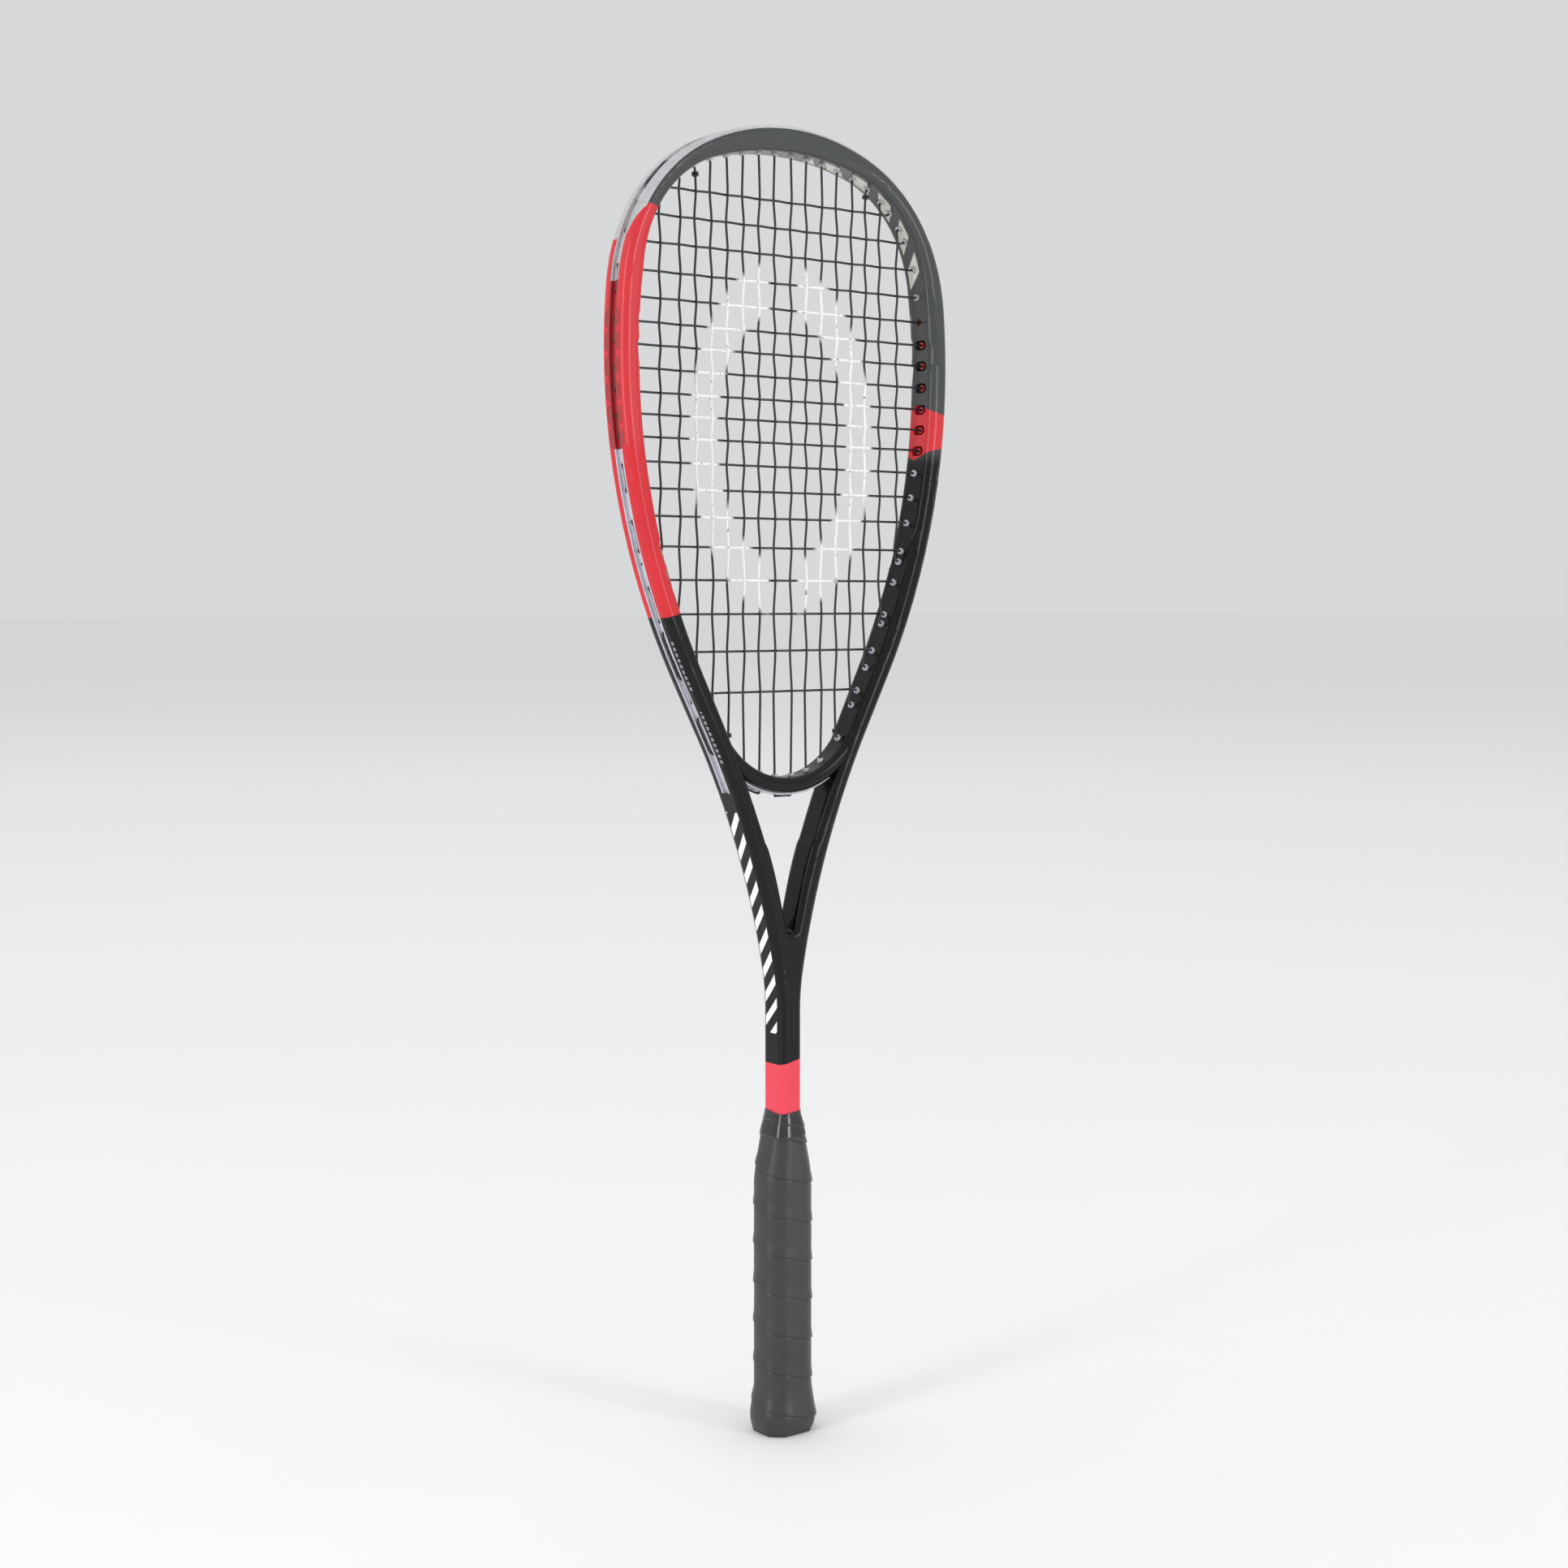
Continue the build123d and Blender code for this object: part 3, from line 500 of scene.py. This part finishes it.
def spiral_wrap():
    """The wound grip: its mesh rows follow the seams, dense beside them."""
    low = WRAP[0][0]
    high = WRAP[-1][0]
    shares = [0, 0.004, 0.01, 0.02, 0.035, 0.06, 0.1, 0.15, 0.21, 0.28, 0.36, 0.45, 0.54, 0.63,
              0.72, 0.80, 0.87, 0.92, 0.95, 0.97, 0.985, 0.994]
    turns = range(-1, math.ceil((high - low) / WRAP_PITCH) + 2)
    mesh = bmesh.new()
    grid = {}
    for turn in turns:
        for s, share in enumerate(shares):
            for column in range(WRAP_COLUMNS):
                angle = 2 * math.pi * column / WRAP_COLUMNS
                rise = WRAP_PITCH * (turn + share - column / WRAP_COLUMNS)
                height = min(max(WRAP_SEAM + rise, low), high)
                grid[turn * len(shares) + s, column] = mesh.verts.new(wrap_point(height, angle, share))
    first = min(row for row, column in grid)
    last = max(row for row, column in grid)
    for row in range(first, last):
        for column in range(WRAP_COLUMNS):
            if column + 1 < WRAP_COLUMNS:
                corners = [(row, column), (row, column + 1), (row + 1, column + 1), (row + 1, column)]
            else:
                shift = len(shares)
                corners = [(row, column), (row - shift, 0), (row - shift + 1, 0), (row + 1, column)]
            found = [grid.get(corner) for corner in corners]
            heights = [v.co.z for v in found if v is not None]
            if None not in found and max(heights) - min(heights) > 1e-7:
                mesh.faces.new(found)
    bmesh.ops.remove_doubles(mesh, verts=mesh.verts, dist=2e-6)
    loose = [v for v in mesh.verts if not v.link_faces]
    bmesh.ops.delete(mesh, geom=loose, context="VERTS")
    close_wrap_ends(mesh, low * MM, high * MM)
    place_piece("grip_spiral_wrap", mesh, wrap_skin(), "grip_wrap")


def close_wrap_ends(mesh, low, high):
    """Fold the open ends of the wrap inward, over the butt cap and under the tape."""
    for level, share in zip((low, high), WRAP_HEM):
        rim = [e for e in mesh.edges if e.is_boundary and abs(e.verts[0].co.z - level) < 1e-6]
        made = bmesh.ops.extrude_edge_only(mesh, edges=rim)
        for v in made["geom"]:
            if isinstance(v, bmesh.types.BMVert):
                v.co.x *= share
                v.co.y *= share


def edge_step(height, edge, sharpness):
    """0 under an edge of the tape and 1 over it."""
    return 1 / (1 + math.exp(-(height - edge) / sharpness))


def tape_point(row, column):
    """A point of the finishing tape: two lapped turns with slanting, rucked edges."""
    angle = 2 * math.pi * column / TAPE_COLUMNS
    rise = row / (TAPE_ROWS - 1)
    dip, dip_angle = TAPE_DIP
    top = TAPE[-1][0] - dip * (0.5 + 0.5 * math.cos(angle - dip_angle))
    top -= TAPE_WAVE * (0.5 + 0.5 * math.sin(2 * angle))
    height = TAPE[0][0] + rise * (top - TAPE[0][0])
    facing = (abs(math.cos(angle)) / smooth_value(TAPE, height, 1),
              abs(math.sin(angle)) / smooth_value(TAPE, height, 2))
    radius = sum(f ** TAPE_ROUND for f in facing) ** (-1 / TAPE_ROUND)
    place = Vector((math.cos(angle) * 3.0, math.sin(angle) * 3.0, height * 0.55))
    edge, slant, sharpness = TAPE_LAP
    edge += slant * math.cos(angle - math.pi) + 0.5 * noise.noise(place * 1.3)
    over = edge_step(height, edge, sharpness)
    ruck = abs(noise.noise(Vector((angle * 1.1, height * 0.9 - 2.0 * math.cos(angle), 4.0))))
    radius += TAPE_LAP_STEP * over * (1 - 0.55 * rise) + TAPE_RUCK * ruck * over
    edge, slant, sharpness = TAPE_LOWER
    lower = edge_step(height, edge + slant * math.cos(angle), sharpness)
    radius += TAPE_LOWER_STEP * lower - TAPE_INSET
    return Vector((radius * math.cos(angle), radius * math.sin(angle), height)) * MM


def shrunk(row, share):
    """A row of points drawn in toward the axis."""
    return [Vector((p.x * share, p.y * share, p.z)) for p in row]


def finishing_tape():
    """Glossy tape round the top of the wrap, with a turned-in edge at each end."""
    rows = [[tape_point(row, column) for column in range(TAPE_COLUMNS)] for row in range(TAPE_ROWS)]
    rows = [shrunk(rows[0], TAPE_HEM[0])] + rows + [shrunk(rows[-1], TAPE_HEM[1])]
    mesh = bmesh.new()
    grid = [[mesh.verts.new(point) for point in row] for row in rows]
    for below, above in zip(grid, grid[1:]):
        for i in range(TAPE_COLUMNS):
            j = (i + 1) % TAPE_COLUMNS
            mesh.faces.new((below[i], below[j], above[j], above[i]))
    place_piece("grip_tape", mesh, tape_skin(), "grip_finishing_tape")


# ---- studio -----------------------------------------------------------------------------------
CAMERA_AT = (-0.773, -0.990, 0.4405)
CAMERA_AZIMUTH = 38.0
CAMERA_PITCH = -2.6
CAMERA_LENS = 54.9
CAMERA_SHIFT = (0.0004, -0.0475)
FLOOR_REACH = 60.0
WORLD_COLOUR = (0.95, 0.96, 0.97, 1)
WORLD_STRENGTH = 0.72


def area_light(name, place, target, size, power):
    lamp = bpy.data.lights.new(name, "AREA")
    lamp.shape = "RECTANGLE"
    lamp.size = size[0]
    lamp.size_y = size[1]
    lamp.energy = power
    stand = bpy.data.objects.new(name, lamp)
    stand.location = place
    aim = Vector(target) - Vector(place)
    stand.rotation_euler = aim.to_track_quat("-Z", "Y").to_euler()
    bpy.context.scene.collection.objects.link(stand)


def floor():
    """A plain pale floor, large enough to fill the view."""
    data = bpy.data.meshes.new("studio_floor")
    reach = FLOOR_REACH
    corners = [(-reach, -reach, 0), (reach, -reach, 0), (reach, reach, 0), (-reach, reach, 0)]
    data.from_pydata(corners, [], [(0, 1, 2, 3)])
    n = Nodes("studio_paper")
    tone = n.mix(n.noise(60.0), (0.955, 0.955, 0.955), (0.965, 0.965, 0.965))
    data.materials.append(n.finish(tone, 0.9))
    piece = bpy.data.objects.new("studio_floor", data)
    bpy.context.scene.collection.objects.link(piece)


def studio():
    """Soft light from the left, the right and above, a pale surround, and the camera."""
    floor()
    middle = (0, 0, 0.36)
    area_light("key_left", (-2.1, -0.2, 0.8), middle, (0.5, 1.9), 16)
    area_light("fill_right", (0.8, -2.2, 0.7), middle, (0.5, 1.9), 16)
    area_light("overhead", (0.4, 1.6, 5.0), (0.4, 1.6, 0.0), (7.0, 7.0), 60)
    world = bpy.data.worlds.new("studio")
    world.use_nodes = True
    background = world.node_tree.nodes["Background"]
    background.inputs[0].default_value = WORLD_COLOUR
    background.inputs[1].default_value = WORLD_STRENGTH
    bpy.context.scene.world = world
    bpy.context.scene.view_settings.view_transform = "Standard"
    lens = bpy.data.cameras.new("camera")
    lens.lens = CAMERA_LENS
    lens.sensor_width = 36.0
    lens.shift_x, lens.shift_y = CAMERA_SHIFT
    camera = bpy.data.objects.new("camera", lens)
    camera.location = CAMERA_AT
    camera.rotation_euler = (math.radians(90 + CAMERA_PITCH), 0, math.radians(-CAMERA_AZIMUTH))
    bpy.context.scene.collection.objects.link(camera)
    bpy.context.scene.camera = camera


dress_nodes()
spiral_wrap()
finishing_tape()
studio()
